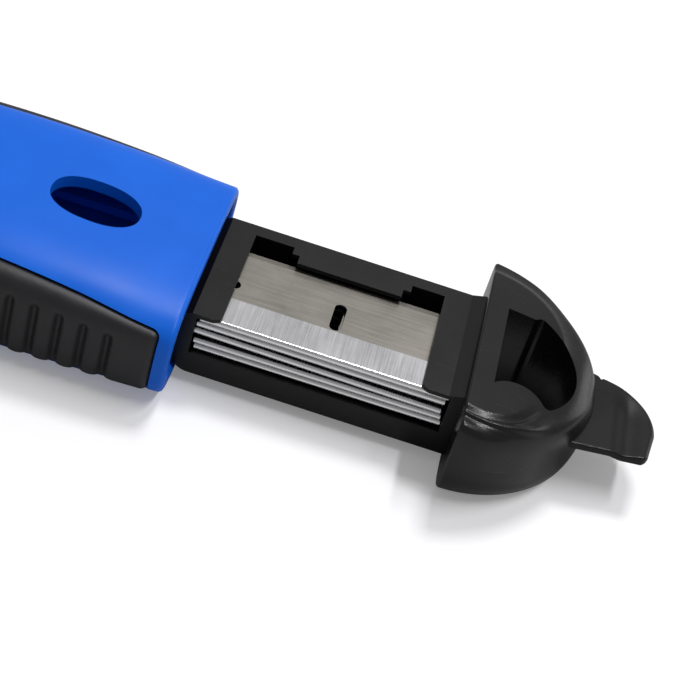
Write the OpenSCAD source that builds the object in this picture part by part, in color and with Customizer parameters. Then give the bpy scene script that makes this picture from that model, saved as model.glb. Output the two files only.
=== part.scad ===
// Razor blade scraper with a blade magazine in its handle.
// X runs along the tool, the cutting edge towards -X and the magazine drawer towards +X.
// Z is up, the tool lies on its flat belly at z = 0, and the drawer is drawn out.
// Every module is written with x = 0 at the mouth of the handle; in_frame() centres the tool.

/* [Blade] */
// Length of a single-edge blade
blade_l = 38.1; // [37:0.1:39]
// Depth of a blade from its back to its cutting edge
blade_d = 19.05; // [18.5:0.05:19.5]
// Thickness of the blade steel
blade_t = 0.23; // [0.2:0.01:0.3]
// Depth of the folded back
spine_d = 6.4; // [5.5:0.1:7]
// Thickness of the folded back
spine_t = 1.05; // [0.9:0.05:1.1]
// Depth of the ground bevel along the edge
bevel_d = 1.1; // [0.6:0.1:1.6]
// Width of the slot in the middle of the blade
eye_w = 1.9; // [1.5:0.1:2.4]
// Length of that slot, from the back towards the edge
eye_l = 6.4; // [5:0.1:6.8]
// Distance of the slot's centre from the blade's back
eye_y = 10.3; // [10:0.1:11]
// Depth of the notch in each end of the blade
notch_l = 3.7; // [3:0.1:5]
// Radius of the notch's round bottom
notch_r = 1; // [0.7:0.1:1.4]

/* [Handle] */
// Half of the handle's width at its mouth
handle_hw = 21; // [20.6:0.1:22]
// Height of the handle at its mouth
handle_h = 16.4; // [16.2:0.1:18]
// Depth of the flat that is cut across the belly
belly_cut = 0.8; // [0.5:0.1:1.2]
// Rise of the underside at the mouth and at the nose
belly_rise = 1.2; // [0.8:0.1:1.6]
// Wall at the sides of the shells
side_wall = 2.6; // [2.3:0.1:2.9]
// Wall at the top and bottom of the shells
flat_wall = 2; // [1.6:0.1:2.1]
// Height of the seam between the two shells
seam_z = 4.5; // [4.2:0.1:5.2]
// Length of the oval window over the magazine
window_l = 14; // [12:0.5:16]
// Width of the oval window
window_w = 10.2; // [9:0.2:12]
// Distance of the window's centre from the mouth
window_x = 18.5; // [17:0.5:21]
// Thickness of the bulkhead behind the magazine
bulkhead_t = 1.6; // [1.2:0.1:2]
// Length of the handle between the bulkhead and the thumb slider's deck
bay_l = 10.6; // [9:0.2:14]
// Length of the handle ahead of that deck
brow_l = 6.1; // [5.8:0.1:9]

/* [Grips] */
// Width of the blue collar left between a grip and the mouth
collar_w = 2.2; // [1.8:0.1:3]
// Distance of the grips' front end from the nose
grip_front_gap = 8; // [6:0.5:12]
// Thickness of the rubber
grip_t = 1.4; // [1.1:0.1:1.5]
// Distance from one rib groove to the next
rib_pitch = 3.7; // [3.3:0.1:4.2]
// Width of a rib groove
rib_groove_w = 1.3; // [0.9:0.1:1.6]
// Depth of a rib groove
rib_groove_d = 0.7; // [0.4:0.1:0.9]
// Plain rubber left at each end of a grip
rib_margin = 5.2; // [4:0.2:8]

/* [Magazine drawer] */
// Width of the tray
tray_w = 25.35; // [25:0.05:25.8]
// Height of the tray
tray_h = 11.1; // [10.8:0.1:11.3]
// Thickness of the plate over the blades
plate_t = 0.7; // [0.6:0.05:0.9]
// Space inside the magazine, floor to plate
magazine_h = 6.6; // [6.5:0.05:6.9]
// Play round the blades in the magazine
blade_play = 0.35; // [0.2:0.05:0.5]
// Depth of the empty channel in front of the cutting edges
edge_gap = 3.3; // [2.8:0.1:3.5]
// How far the blade backs sit inside the tray's open side
back_inset = 0.7; // [0.4:0.1:1]
// Wall at the tip of the tray
tip_wall = 2.55; // [2.3:0.05:2.8]
// Wall between the magazine and the cap
root_wall = 1.85; // [1.6:0.05:2.4]
// Overlap of the cross bars on the blade ends
bar_lap = 3.2; // [2.6:0.1:4]
// Width of the spring tongue over the cutting edges
tongue_w = 16.8; // [14:0.2:19]
// Reach of the tongue from the rail
tongue_l = 3.8; // [3.4:0.1:4.2]
// Clearance between the drawer and what guides it
drawer_play = 0.2; // [0.15:0.05:0.3]
// Length of tray left in the handle with the drawer drawn out
engaged_l = 1; // [0.6:0.1:4]

/* [End cap] */
// Length of the cap from its flange to the end of its dome
cap_l = 20.2; // [19:0.2:22]
// Height of the cap at its flange
cap_h = 16; // [15.6:0.1:16.2]
// Fall of the cap's top from the flange to the dome's end
cap_fall = 2.2; // [1.6:0.1:2.8]
// Distance of the D-shaped hole's straight side from the flange
dee_x = 3.5; // [3:0.1:4]
// Width of the flange left beyond the hole's far side
dee_far_wall = 11.8; // [11.4:0.1:13]
// Width of the flange left beyond the hole's near side
dee_near_wall = 13.6; // [13.2:0.1:14.4]
// Length of the dome left beyond the hole's round side
dee_end_wall = 4.1; // [3.8:0.1:4.8]
// Distance of that radius's centre from the flange
round_x = 3.5; // [3:0.1:4]
// Distance of that centre from the middle, towards the near side
round_y = 1.2; // [0.8:0.1:1.8]
// Thickness of the thumb ridges on the near shoulder
ridge_t = 1.6; // [1.2:0.1:1.8]
// Distance from one thumb ridge to the next
ridge_pitch = 1.7; // [1.6:0.1:2]
// Width of the pull tab where it leaves the cap
tab_w = 18.7; // [16:0.1:20]
// Reach of the pull tab beyond the dome
tab_l = 10; // [8:0.5:12]
// Thickness of the pull tab
tab_t = 1.2; // [1:0.1:1.6]
// Height of the pull tab's top face
tab_z = 9.2; // [8.6:0.1:9.6]

/* [Nose and blade carrier] */
// Length of the nose ahead of the shells
nose_l = 30; // [29:0.5:32]
// Wall of the nose beside the ends of the blade
nose_wall = 3.6; // [3:0.1:4.6]
// Height of the nose at its tip
nose_h = 8.2; // [8:0.1:9]
// Height of the blade in use above the belly
blade_z = 3.6; // [3.5:0.05:3.8]
// How far the cutting edge sits inside the nose when drawn back
edge_guard = 1.4; // [1:0.1:2]
// Travel of the blade carrier
carrier_travel = 9.5; // [8:0.1:9.8]
// Thickness of the carrier over the blade
carrier_t = 2; // [1.7:0.1:2.1]
// Width of the carrier's stem
stem_w = 12; // [10:0.5:13]
// Length of the thumb slider's pad
slider_l = 17; // [15:0.5:18]
// Width of the thumb slider's pad
slider_w = 12; // [10:0.5:13]
// Height of the thumb slider above its deck
slider_h = 3.4; // [2.8:0.1:4]
// Running clearance of the carrier and slider
slide_play = 0.2; // [0.15:0.05:0.25]

/* [Fasteners] */
// Radius of the shell screws' shanks
screw_r = 1.1; // [0.9:0.05:1.3]
// Radius of the shell screws' heads
screw_head_r = 2; // [1.8:0.1:2.2]
// Height of the screw heads
screw_head_h = 1.1; // [0.9:0.05:1.2]
// Length of the shell screws below the head
screw_l = 8; // [7:0.5:9]
// Radius of the bosses that the screws enter
boss_r = 2.6; // [2.4:0.1:2.8]

/* [Hidden] */
$fn = 40;

blue = [0.07, 0.33, 0.86];
black = [0.13, 0.13, 0.15];
rubber = [0.2, 0.2, 0.21];
steel = [0.62, 0.6, 0.57];
bright = [0.84, 0.84, 0.86];

// One overrun serves every cut that must pass a face
over = 1;
// Clearance of pieces that are screwed or glued in place
seat = 0.05;

// Lengths along the tool: the magazine holds a blade, and the handle holds magazine and slider
tray_l = tip_wall + blade_l + 2 * blade_play + root_wall;
flange_x = tray_l - engaged_l;
tip_x = -engaged_l;
magazine_x = tip_x + tip_wall + blade_play + blade_l / 2;
cavity_end_x = -tray_l - drawer_play;
bulkhead_x = cavity_end_x - bulkhead_t;
deck_wall = 1.5;
slot_gap = 0.4;
deck_x1 = bulkhead_x - bay_l;
pocket_x1 = deck_x1 - deck_wall;
post_x = pocket_x1 - slot_gap - slider_l / 2;
pocket_x0 = post_x - slider_l / 2 - carrier_travel - slot_gap;
deck_x0 = pocket_x0 - deck_wall;
handle_l = brow_l - deck_x0;
nose_tip_x = -(handle_l + nose_l);
tab_tip_x = flange_x + cap_l + tab_l;
mid_x = (nose_tip_x + tab_tip_x) / 2;

// Heights in the drawer
tray_z = flat_wall + drawer_play;
tray_top = tray_z + tray_h;
magazine_top = tray_top - plate_t;
magazine_z = magazine_top - magazine_h;
blade_back_y = -tray_w / 2 + back_inset;
rail_y = blade_back_y + blade_d + edge_gap;

// Heights of the five spare blades: share of the free height taken at the left and right end
free_h = magazine_h - spine_t;
left_shares = [0.015, 0.205, 0.45, 0.787, 0.982];
right_shares = [0.015, 0.205, 0.535, 0.73, 0.925];
// And how far along the magazine each has slipped: share of the play
slip_shares = [0.4, -0.5, -0.9, -0.2, 0.5];

module in_frame() { translate([-mid_x, 0, 0]) children(); }

module block(low, high) { translate(low) cube(high - low); }

module rounded_plan(low, high, r) {
  // A box whose upright edges are rounded
  block([low[0] + r, low[1], low[2]], [high[0] - r, high[1], high[2]]);
  block([low[0], low[1] + r, low[2]], [high[0], high[1] - r, high[2]]);
  for (x = [low[0] + r, high[0] - r], y = [low[1] + r, high[1] - r])
    translate([x, y, low[2]]) cylinder(h = high[2] - low[2], r = r);
}

// Smooth curve through evenly spaced values, at share u from first to last
function curve(v, u) =
  let (n = len(v) - 1, t = min(max(u, 0), 1) * n, i = min(floor(t), n - 1), f = t - i,
    a = v[max(i - 1, 0)], b = v[i], c = v[i + 1], d = v[min(i + 2, n)])
  b + f * ((c - a) / 2 + f * (a - 2.5 * b + 2 * c - d / 2 + f * (1.5 * b - 1.5 * c + (d - a) / 2)));

function side(v, p) = sign(v) * pow(abs(v), 2 / p);

// Point of a squared-off oval section: half width w, from z0 to z1, power p, angle a
function rim(x, w, z0, z1, p, a) =
  [x, w * side(cos(a), p), (z0 + z1) / 2 + (z1 - z0) / 2 * side(sin(a), p)];

function ring(x, w, z0, z1, p, count) =
  [for (i = [0 : count - 1]) rim(x, w, z0, z1, p, 360 * i / count)];

// Closed skin over rings of equal length, first ring at the lower x
module skin(rings) {
  n = len(rings[0]);
  last = len(rings) - 1;
  polyhedron(points = [for (r = rings) each r],
    faces = concat([[for (i = [0 : n - 1]) i]],
      [for (k = [0 : last - 1], i = [0 : n - 1], h = [0, 1])
        let (a = k * n + i, b = k * n + (i + 1) % n) h == 0 ? [a, a + n, b] : [b, a + n, b + n]],
      [[for (i = [n - 1 : -1 : 0]) last * n + i]]), convexity = 8);
}

// Shape of the handle, as shares of its sizes from mouth to nose
width_shares = [1, 1.01, 1, 0.97, 0.94, 0.935, 0.98];
top_shares = [1, 1.065, 1.11, 1.11, 1.07, 1.005, 0.92];
bottom_shares = [1, 0.4, 0, 0, 0, 0.25, 0.75];
body_power = 4;
body_count = 36;
body_steps = 12;

function body_w(x) = handle_hw * curve(width_shares, -x / handle_l);
function body_top(x) = handle_h * curve(top_shares, -x / handle_l);
function body_bottom(x) = belly_rise * curve(bottom_shares, -x / handle_l) - belly_cut;

// The handle's body set in by a side wall and a flat wall, between two places
module body(side_in, flat_in, x0, x1) {
  skin([for (k = [0 : body_steps]) let (x = x0 + (x1 - x0) * k / body_steps)
    ring(x, body_w(x) - side_in, body_bottom(x) + flat_in, body_top(x) - flat_in,
      body_power, body_count)]);
}

// Sizes shared by the shells, the thumb slider and the carrier
deck_t = 2.4;
deck_sink = 1.6;
deck_z = handle_h - deck_sink;
pad_corner_r = 1.5;
pocket_hw = slider_w / 2 + slot_gap;
deck_hw = pocket_hw + deck_wall;
post_l = 8;
post_w = 4.6;
track_x0 = post_x - post_l / 2 - carrier_travel - slide_play;
track_x1 = post_x + post_l / 2 + slide_play;

// Screw bosses: two behind the bulkhead, two that pass through the nose's tenon
tenon_l = 9;
boss_side_gap = 8.4;
front_boss_y = 9.6;
rear_boss = [bulkhead_x - boss_r * 0.9, handle_hw - boss_side_gap];
front_boss = [-handle_l + tenon_l * 2 / 3, front_boss_y];
rear_places = [rear_boss, [rear_boss[0], -rear_boss[1]]];
front_places = [front_boss, [front_boss[0], -front_boss[1]]];
boss_places = concat(rear_places, front_places);
screw_spare = 0.6;
screw_sink = 0.3;
screw_head_z = screw_sink + screw_head_h;

// Guides of the drawer
guide_t = 1.5;
guide_inner_y = tray_w / 2 + drawer_play;
guide_levels = [tray_z + tray_h * 0.36, tray_z + tray_h * 0.74];
guide_start = 3;

module posts(places, r, z0, z1) {
  for (p = places) translate([p[0], p[1], z0]) cylinder(h = z1 - z0, r = r);
}

module upper_shell() {
  color(blue) difference() {
    union() {
      intersection() {
        difference() {
          body(0, 0, -handle_l, 0);
          body(side_wall, flat_wall, -handle_l - over, over);
        }
        block([-handle_l, -2 * handle_hw, seam_z], [0, 2 * handle_hw, 2 * handle_h]);
      }
      // Inner walls, guides, bosses and deck, all kept inside the outer skin
      intersection() {
        body(side_wall / 2, flat_wall / 2, -handle_l, 0);
        union() {
          block([bulkhead_x, -handle_hw, seam_z], [cavity_end_x, handle_hw, 2 * handle_h]);
          for (s = [-1, 1], z = guide_levels)
            block([cavity_end_x, s > 0 ? guide_inner_y : -handle_hw, z],
              [-guide_start, s > 0 ? handle_hw : -guide_inner_y, z + guide_t]);
          for (s = [-1, 1])
            block([cavity_end_x, s * tray_w / 3 - guide_t / 2, tray_top + drawer_play],
              [-guide_start, s * tray_w / 3 + guide_t / 2, 2 * handle_h]);
          block([deck_x0, -deck_hw, deck_z - deck_t], [deck_x1, deck_hw, 2 * handle_h]);
          posts(boss_places, boss_r, seam_z, 2 * handle_h);
        }
      }
    }
    grip_space(1);
    grip_space(-1);
    // Oval window over the blades
    translate([-window_x, 0, tray_top]) window_cutter();
    // Sunk deck of the thumb slider, and the slot that its post runs in
    rounded_plan([pocket_x0, -pocket_hw, deck_z], [pocket_x1, pocket_hw, 2 * handle_h], pad_corner_r);
    block([track_x0, -post_w / 2 - slide_play, deck_z - 2 * deck_t],
      [track_x1, post_w / 2 + slide_play, 2 * handle_h]);
    posts(boss_places, screw_r + seat / 2, 0, screw_head_z + screw_l + screw_spare);
  }
}

module window_cutter() {
  // Two round ends joined by a straight middle
  straight = window_l - window_w;
  for (s = [-1, 1]) translate([s * straight / 2, 0, 0]) cylinder(h = 2 * handle_h, r = window_w / 2);
  block([-straight / 2, -window_w / 2, 0], [straight / 2, window_w / 2, 2 * handle_h]);
}

module lower_shell() {
  color(blue) difference() {
    union() {
      intersection() {
        difference() {
          body(0, 0, -handle_l, 0);
          body(side_wall, belly_cut + flat_wall, -handle_l - over, over);
          block([-handle_l - over, -guide_inner_y, flat_wall], [over, guide_inner_y, seam_z + over]);
        }
        block([-handle_l, -2 * handle_hw, 0], [0, 2 * handle_hw, seam_z]);
      }
      intersection() {
        body(side_wall / 2, flat_wall / 2, -handle_l, 0);
        union() {
          block([bulkhead_x, -handle_hw, flat_wall / 2], [cavity_end_x, handle_hw, seam_z]);
          posts(boss_places, boss_r, flat_wall / 2, seam_z);
          detent_rib();
          guide_rib();
        }
      }
    }
    grip_space(1);
    grip_space(-1);
    posts(boss_places, screw_r + drawer_play, -over, seam_z + over);
    posts(boss_places, screw_head_r + drawer_play, -over, screw_head_z);
  }
}

module shell_screws() {
  color(bright) for (p = boss_places) translate([p[0], p[1], screw_sink]) {
    difference() {
      union() {
        cylinder(h = screw_head_h, r = screw_head_r);
        cylinder(h = screw_head_h + screw_l, r = screw_r);
      }
      cross_recess(screw_head_r * 0.7, screw_head_h);
    }
  }
}

// Side grips: a strip of the section between two angles, with grooves across it
grip_low_a = -36;
grip_gap_a = 0.3;
grip_top_shares = [0.62, 0.84, 0.95, 1, 0.95, 0.8, 0.6];
grip_top_a = 46;
grip_x1 = -collar_w;
grip_x0 = -(handle_l - grip_front_gap);
grip_angle_steps = 6;
groove_count = floor((grip_x1 - grip_x0 - 2 * rib_margin) / rib_pitch);

function grip_top(x) = grip_top_a * curve(grip_top_shares, (x - grip_x1) / (grip_x0 - grip_x1));

// Depth of the rubber's surface below the body at x: a row of rounded grooves
function groove_at(x) =
  let (u = (grip_x1 - rib_margin - x) / rib_pitch, f = u - floor(u), half = rib_groove_w / rib_pitch / 2)
  u < 0 || u > groove_count || abs(f - 0.5) > half ? 0 :
  rib_groove_d * (1 + cos(180 * (f - 0.5) / half)) / 2;

function strip(x, s, out, groove, deep, a0, a1) =
  let (w = body_w(x), z0 = body_bottom(x), z1 = body_top(x))
  [for (i = [0 : grip_angle_steps]) let (a = a0 + (a1 - a0) * i / grip_angle_steps,
      o = out - (i < grip_angle_steps - 1 ? groove : 0),
      q = rim(x, w + o, z0 - o, z1 + o, body_power, a)) [q[0], s * q[1], q[2]],
    for (i = [grip_angle_steps : -1 : 0]) let (a = a0 + (a1 - a0) * i / grip_angle_steps,
      q = rim(x, w - deep, z0 + deep, z1 - deep, body_power, a)) [q[0], s * q[1], q[2]]];

// The rubber's stations: ends, and five to a groove
groove_share = rib_groove_w / rib_pitch / 2;
grip_xs = concat([grip_x0, grip_x0 + rib_margin / 2],
  [for (k = [groove_count - 1 : -1 : 0], f = [1, 0.5, 0, -0.5, -1])
    grip_x1 - rib_margin - rib_pitch * (k + 0.5 + f * groove_share * 0.999)],
  [grip_x1 - rib_margin / 2, grip_x1]);

module grip(s) {
  rings = [for (x = grip_xs) strip(x, s, 0, groove_at(x), grip_t, grip_low_a, grip_top(x))];
  skin(s > 0 ? rings : [for (r = rings) [for (i = [len(r) - 1 : -1 : 0]) r[i]]]);
}

module grip_space(s) {
  x0 = grip_x0 - seat;
  x1 = grip_x1 + seat;
  // One station more at each end, so that the block cuts both ends square
  rings = [for (k = [-1 : body_steps + 1]) let (x = x0 + (x1 - x0) * k / body_steps)
    strip(x, s, over, 0, grip_t + seat, grip_low_a - grip_gap_a, grip_top(x) + grip_gap_a)];
  intersection() {
    skin(s > 0 ? rings : [for (r = rings) [for (i = [len(r) - 1 : -1 : 0]) r[i]]]);
    block([x0, -2 * handle_hw, -2 * handle_h], [x1, 2 * handle_hw, 2 * handle_h]);
  }
}

module grip_near() { color(rubber) grip(-1); }
module grip_far() { color(rubber) grip(1); }

// Nose: carries the blade carrier and lets the blade out at its tip
tenon_hw = guide_inner_y - seat;
tenon_z0 = flat_wall + seat;
tenon_z1 = deck_z - deck_t - seat;
nose_steps = 8;
tip_slot_l = 1.6;
tip_slot_h = 1.2;
nose_line_r = 1;
nose_line_lift = 0.35;
nose_line_share = 0.6;
nose_line_shares = [0.3, 0.42, 0.54, 0.66];

blade_edge_x = nose_tip_x + edge_guard;
blade_back_x = blade_edge_x + blade_d;
peg_x = blade_back_x - eye_y;
peg_margin = 1.1;
carrier_play = 0.1;
carrier_lip = 1.5;
carrier_step = 3.2;
carrier_nose_hw = 5;
carrier_inset = 1.4;
carrier_front_x = peg_x + carrier_lip;
carrier_back_x = blade_back_x + carrier_step;
carrier_hw = blade_l / 2 - carrier_inset;
carrier_z0 = blade_z - spine_t / 2 - carrier_play;
carrier_plate_z = blade_z + blade_t / 2 + seat;
carrier_z1 = carrier_plate_z + carrier_t;
nose_cavity_hw = blade_l / 2 + blade_play;
nose_hw = nose_cavity_hw + nose_wall;
stem_back_x = deck_x1;
// The nose has its full width where the blade's chamber begins
nose_flare_share = (-handle_l - blade_back_x - slot_gap) / nose_l;

function ease(u) = u * u * (3 - 2 * u);
function nose_top(u) = body_top(-handle_l) + (nose_h - body_top(-handle_l)) * ease(u);

module nose_housing() {
  root_hw = body_w(-handle_l);
  color(black) difference() {
    union() {
      skin([for (k = [0 : nose_steps]) let (x = nose_tip_x + nose_l * k / nose_steps, u = 1 - k / nose_steps)
        ring(x, root_hw + (nose_hw - root_hw) * ease(min(u / nose_flare_share, 1)),
          body_bottom(-handle_l) + belly_cut * u, nose_top(u), body_power + 3 * u, body_count)]);
      block([-handle_l - over, -tenon_hw, tenon_z0], [-handle_l + tenon_l, tenon_hw, tenon_z1]);
    }
    // Chamber: over the blade's whole length, then behind the blade for the carrier alone
    block([nose_tip_x + tip_slot_l, -nose_cavity_hw, carrier_z0 - slide_play],
      [blade_back_x + slot_gap, nose_cavity_hw, carrier_z1 + slide_play]);
    block([blade_back_x, -carrier_hw - slide_play, carrier_z0 - slide_play],
      [carrier_back_x + slot_gap, carrier_hw + slide_play, carrier_z1 + slide_play]);
    // Slot at the tip for the blade, higher in the middle for the carrier's nose
    block([nose_tip_x - over, -nose_cavity_hw, blade_z - tip_slot_h / 2],
      [nose_tip_x + tip_slot_l + over, nose_cavity_hw, blade_z + tip_slot_h / 2]);
    block([nose_tip_x - over, -carrier_nose_hw - slide_play, blade_z],
      [nose_tip_x + tip_slot_l + over, carrier_nose_hw + slide_play, carrier_z1 + slide_play]);
    // Channel of the stem
    block([carrier_back_x, -stem_w / 2 - slide_play, carrier_z0 - slide_play],
      [-handle_l + tenon_l + over, stem_w / 2 + slide_play, carrier_z1 + slide_play]);
    posts(front_places, boss_r + seat, 0, tenon_z1 + over);
    // Grip lines across the top
    for (u = nose_line_shares)
      translate([-handle_l - nose_l * u, -nose_hw * nose_line_share, nose_top(u) + nose_line_lift])
        rotate([-90, 0, 0]) cylinder(h = 2 * nose_hw * nose_line_share, r = nose_line_r);
  }
}

// Blade outline with its bevel, back at y = 0, edge at y = blade_d, middle plane z = 0
module blade_steel() {
  difference() {
    translate([-blade_l / 2, 0, 0]) rotate([90, 0, 90]) linear_extrude(blade_l)
      polygon([[fold_t, -blade_t / 2], [blade_d - bevel_d, -blade_t / 2], [blade_d, -blade_t / 12],
        [blade_d, blade_t / 12], [blade_d - bevel_d, blade_t / 2], [fold_t, blade_t / 2]]);
    for (s = [-1, 1]) translate([0, eye_y + s * (eye_l - eye_w) / 2, -over])
      cylinder(h = 2 * over, r = eye_w / 2);
    block([-eye_w / 2, eye_y - (eye_l - eye_w) / 2, -over], [eye_w / 2, eye_y + (eye_l - eye_w) / 2, over]);
    for (s = [-1, 1]) translate([s * (blade_l / 2 - notch_l + notch_r), eye_y, -over]) {
      cylinder(h = 2 * over, r = notch_r);
      block([s > 0 ? 0 : -notch_l, -notch_r, 0], [s > 0 ? notch_l : 0, notch_r, 2 * over]);
    }
  }
}

fold_t = (spine_t - blade_t) / 2;

// Folded back of a blade: a strip bent round the steel
module blade_spine() {
  translate([-blade_l / 2, 0, 0]) rotate([90, 0, 90]) linear_extrude(blade_l) difference() {
    union() {
      translate([spine_t / 2, -spine_t / 2]) square([spine_d - spine_t / 2, spine_t]);
      translate([spine_t / 2, 0]) circle(r = spine_t / 2);
    }
    translate([fold_t, -blade_t / 2]) square([spine_d + over, blade_t]);
  }
}

module in_magazine(k) {
  z1 = magazine_top - spine_t / 2 - free_h * left_shares[k];
  z2 = magazine_top - spine_t / 2 - free_h * right_shares[k];
  translate([magazine_x + slip_shares[k] * blade_play, blade_back_y, (z1 + z2) / 2])
    rotate([0, atan((z1 - z2) / blade_l), 0]) children();
}

module spare_blade(k) { color(steel) in_magazine(k) blade_steel(); }
module spare_spine(k) { color(bright) in_magazine(k) blade_spine(); }

module in_use() { translate([blade_back_x, 0, blade_z]) rotate([0, 0, 90]) children(); }
module working_blade() { color(steel) in_use() blade_steel(); }
module working_spine() { color(bright) in_use() blade_spine(); }

slider_join_z = 10;
slider_screw_r = 0.9;
slider_screw_l = 9.5;
slider_screw_head_h = 0.9;
stem_slot_l = 7;
stem_slot_gap = 3;

module blade_carrier() {
  color(black) difference() {
    union() {
      rounded_plan([carrier_front_x, -carrier_hw, carrier_plate_z], [carrier_back_x, carrier_hw, carrier_z1],
        pad_corner_r);
      // Nose that carries the peg, and the peg through the blade's slot
      block([peg_x - eye_w / 2 - peg_margin, -carrier_nose_hw, carrier_plate_z],
        [carrier_back_x - over, carrier_nose_hw, carrier_z1]);
      translate([peg_x, 0, blade_z - spine_t / 2]) cylinder(h = carrier_t, r = eye_w / 2 - seat);
      // Step behind the blade's back, and the stem to the thumb slider
      block([blade_back_x + seat, -carrier_hw, carrier_z0], [carrier_back_x, carrier_hw, carrier_z1]);
      block([carrier_back_x - over, -stem_w / 2, carrier_z0], [stem_back_x, stem_w / 2, carrier_z1]);
      block([post_x - post_l / 2, -post_w / 2, carrier_z1 - over],
        [post_x + post_l / 2, post_w / 2, slider_join_z]);
    }
    // Pocket over the blade's back
    block([blade_back_x - spine_d - seat, -carrier_hw - over, carrier_z0 - over],
      [blade_back_x + seat, carrier_hw + over, blade_z + spine_t / 2 + seat]);
    // Two lightening slots in the stem
    for (k = [0, 1]) let (x = carrier_back_x + stem_slot_l + k * (stem_slot_l + stem_slot_gap))
      rounded_plan([x, -stem_w / 4, carrier_z0 - over], [x + stem_slot_l, stem_w / 4, carrier_z1 + over],
        pad_corner_r);
    translate([post_x, 0, carrier_z0 - over]) cylinder(h = handle_h, r = slider_screw_r + seat / 2);
    translate([post_x, 0, carrier_z0 - over])
      cylinder(h = over + slider_screw_head_h + seat, r = 2 * slider_screw_r + seat);
  }
}

// Thumb slider: a dished pad with cross grooves, on a post that is screwed to the carrier
thumb_r = 25;
dish_d = 1.2;
thumb_groove_r = 0.5;
thumb_groove_pitch = 2.6;

module thumb_slider() {
  pad_z = deck_z + slide_play;
  dish_z = pad_z + slider_h - dish_d + thumb_r;
  color(blue) difference() {
    union() {
      rounded_plan([post_x - slider_l / 2, -slider_w / 2, pad_z],
        [post_x + slider_l / 2, slider_w / 2, pad_z + slider_h], pad_corner_r);
      block([post_x - post_l / 2, -post_w / 2, slider_join_z],
        [post_x + post_l / 2, post_w / 2, pad_z + over]);
    }
    translate([post_x, -slider_w, dish_z]) rotate([-90, 0, 0]) cylinder(h = 2 * slider_w, r = thumb_r);
    for (k = [-2 : 2]) let (x = thumb_groove_pitch * k)
      translate([post_x + x, -slider_w, dish_z - sqrt(thumb_r * thumb_r - x * x)])
        rotate([-90, 0, 0]) cylinder(h = 2 * slider_w, r = thumb_groove_r);
    translate([post_x, 0, slider_join_z - over])
      cylinder(h = carrier_z0 + slider_screw_l - slider_join_z + 2 * over, r = slider_screw_r + seat / 2);
  }
}

module slider_screw() {
  color(bright) translate([post_x, 0, carrier_z0]) difference() {
    union() {
      cylinder(h = slider_screw_head_h, r = 2 * slider_screw_r);
      cylinder(h = slider_screw_l, r = slider_screw_r);
    }
    cross_recess(slider_screw_r, slider_screw_head_h);
  }
}

// Recess for a cross-head driver in a head that faces down
module cross_recess(r, head_h) {
  for (a = [0, 90]) rotate([0, 0, a]) block([-r, -r / 4, -over], [r, r / 4, head_h / 2]);
}

// Detent: a bent leaf on the stem's side, and the notched rib that it rides along
leaf_t = 0.35;
leaf_h = 1.8;
leaf_l = 13;
leaf_end = 1;
leaf_lift = 0.4;
leaf_bump = 1.7;
leaf_x1 = stem_back_x - leaf_end;
leaf_x0 = leaf_x1 - leaf_l;
leaf_mid_x = (leaf_x0 + leaf_x1) / 2;
detent_y = stem_w / 2 + leaf_t + leaf_bump + seat;
detent_t = 1.4;
detent_notch_r = 0.9;

module detent_spring() {
  y = stem_w / 2;
  span = leaf_bump;
  color(bright) translate([0, 0, carrier_z0 + leaf_lift]) linear_extrude(leaf_h) polygon([
    [leaf_x0, y], [leaf_x1, y], [leaf_x1, y + leaf_t], [leaf_mid_x + 2 * span, y + leaf_t],
    [leaf_mid_x + leaf_t, y + leaf_t + span], [leaf_mid_x - leaf_t, y + leaf_t + span],
    [leaf_mid_x - 2 * span, y + leaf_t], [leaf_x0, y + leaf_t]]);
}

module detent_rib() {
  difference() {
    block([leaf_x0 - carrier_travel, detent_y, flat_wall / 2], [leaf_x1 + over, detent_y + detent_t, seam_z]);
    for (k = [0, 0.5, 1]) translate([leaf_mid_x - carrier_travel * k, detent_y, flat_wall])
      cylinder(h = handle_h, r = detent_notch_r);
  }
}

module guide_rib() {
  block([-handle_l + tenon_l + over, -stem_w / 2 - slide_play - detent_t, flat_wall / 2],
    [stem_back_x, -stem_w / 2 - slide_play, seam_z]);
}

// Drawer tray: open on its near side, with a windowed plate over the blades
tray_nose_r = 3;
lead_l = 1.8;
lead_h = 0.9;
ramp_l = 2.2;
ramp_h = 0.6;
cap_bar_extra = 1;
window_x0 = magazine_x - blade_l / 2 + bar_lap;
window_x1 = magazine_x + blade_l / 2 - bar_lap - cap_bar_extra;
window_lip = 0.2;
bar_corner_r = 1.5;
tongue_step = 1.2;
core_start = 5;
core_end = 4.6;
core_rib = 1.2;
core_wall = 2.2;
core_floor = 1.2;
core_r = 1;
core_count = 3;
core_l = (tray_l - core_start - core_end - core_rib * (core_count - 1)) / core_count;

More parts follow.
